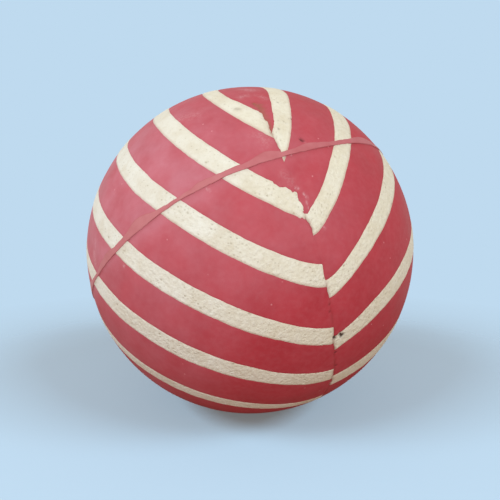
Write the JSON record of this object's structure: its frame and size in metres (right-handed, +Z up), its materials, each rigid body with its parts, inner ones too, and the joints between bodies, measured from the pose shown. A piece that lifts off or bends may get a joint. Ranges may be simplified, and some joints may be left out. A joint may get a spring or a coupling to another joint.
{
  "type": "croquet ball",
  "caption": "Solid moulded rubber ball in two stacks of red and cream layers that meet in chevrons on a seam, with a thin raised ring of mould flash.",
  "frame": {"origin": "centre of the ball", "axes": "+Z up as the ball lies on the ground, +Y away from someone who sees the seam a little right of centre"},
  "size_m": [0.0919, 0.0919, 0.0919],
  "materials": {
    "red_rubber": "matt moulded rubber with a dusty bloom",
    "cream_rubber": "matt, coarse and finely pitted moulded rubber"
  },
  "bodies": {
    "root": {"left_cream_layer_1": "cream_rubber", "left_cream_layer_2": "cream_rubber", "left_cream_layer_3": "cream_rubber", "left_cream_layer_4": "cream_rubber", "left_cream_layer_5": "cream_rubber", "left_cream_layer_6": "cream_rubber", "left_cream_layer_7": "cream_rubber", "left_red_layer_1": "red_rubber", "left_red_layer_2": "red_rubber", "left_red_layer_3": "red_rubber", "left_red_layer_4": "red_rubber", "left_red_layer_5": "red_rubber", "left_red_layer_6": "red_rubber", "left_red_layer_7": "red_rubber", "left_red_layer_8": "red_rubber", "mould_flash_ring": "red_rubber", "right_cream_layer_1": "cream_rubber", "right_cream_layer_2": "cream_rubber", "right_cream_layer_3": "cream_rubber", "right_cream_layer_4": "cream_rubber", "right_cream_layer_5": "cream_rubber", "right_cream_layer_6": "cream_rubber", "right_red_layer_1": "red_rubber", "right_red_layer_2": "red_rubber", "right_red_layer_3": "red_rubber", "right_red_layer_4": "red_rubber", "right_red_layer_5": "red_rubber", "right_red_layer_6": "red_rubber", "right_red_layer_7": "red_rubber"}
  },
  "joints": []
}
